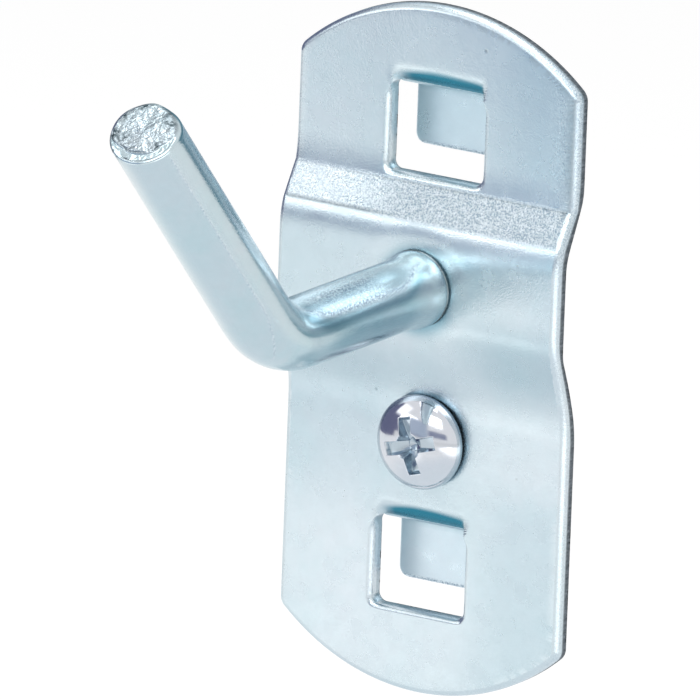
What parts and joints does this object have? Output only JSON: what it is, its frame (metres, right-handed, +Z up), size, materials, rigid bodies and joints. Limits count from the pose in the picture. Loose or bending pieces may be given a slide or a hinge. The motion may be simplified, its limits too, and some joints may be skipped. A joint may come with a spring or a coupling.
{
  "type": "pegboard hook",
  "caption": "Square-hole pegboard hook: a joggled zinc-plated mounting plate with lanced hanging tongues, a riveted rod arm bent upwards and a cross-recess locking screw.",
  "frame": {"origin": "on the panel side of the mounting plate, midway between its two hanging tongues and half way across", "axes": "+Z up, +Y into the panel, +X to the right seen from the front; the arm reaches out along -Y"},
  "size_m": [0.028, 0.0573, 0.0605],
  "materials": {
    "plate_zinc": "bright bluish zinc plate on stamped sheet steel, satin",
    "rod_zinc": "bright bluish zinc plate on drawn steel rod",
    "screw_zinc": "bright zinc plate, glossy"
  },
  "bodies": {
    "root": {"mounting_plate": "plate_zinc", "hook_rod": "rod_zinc", "locking_screw": "screw_zinc"}
  },
  "joints": []
}
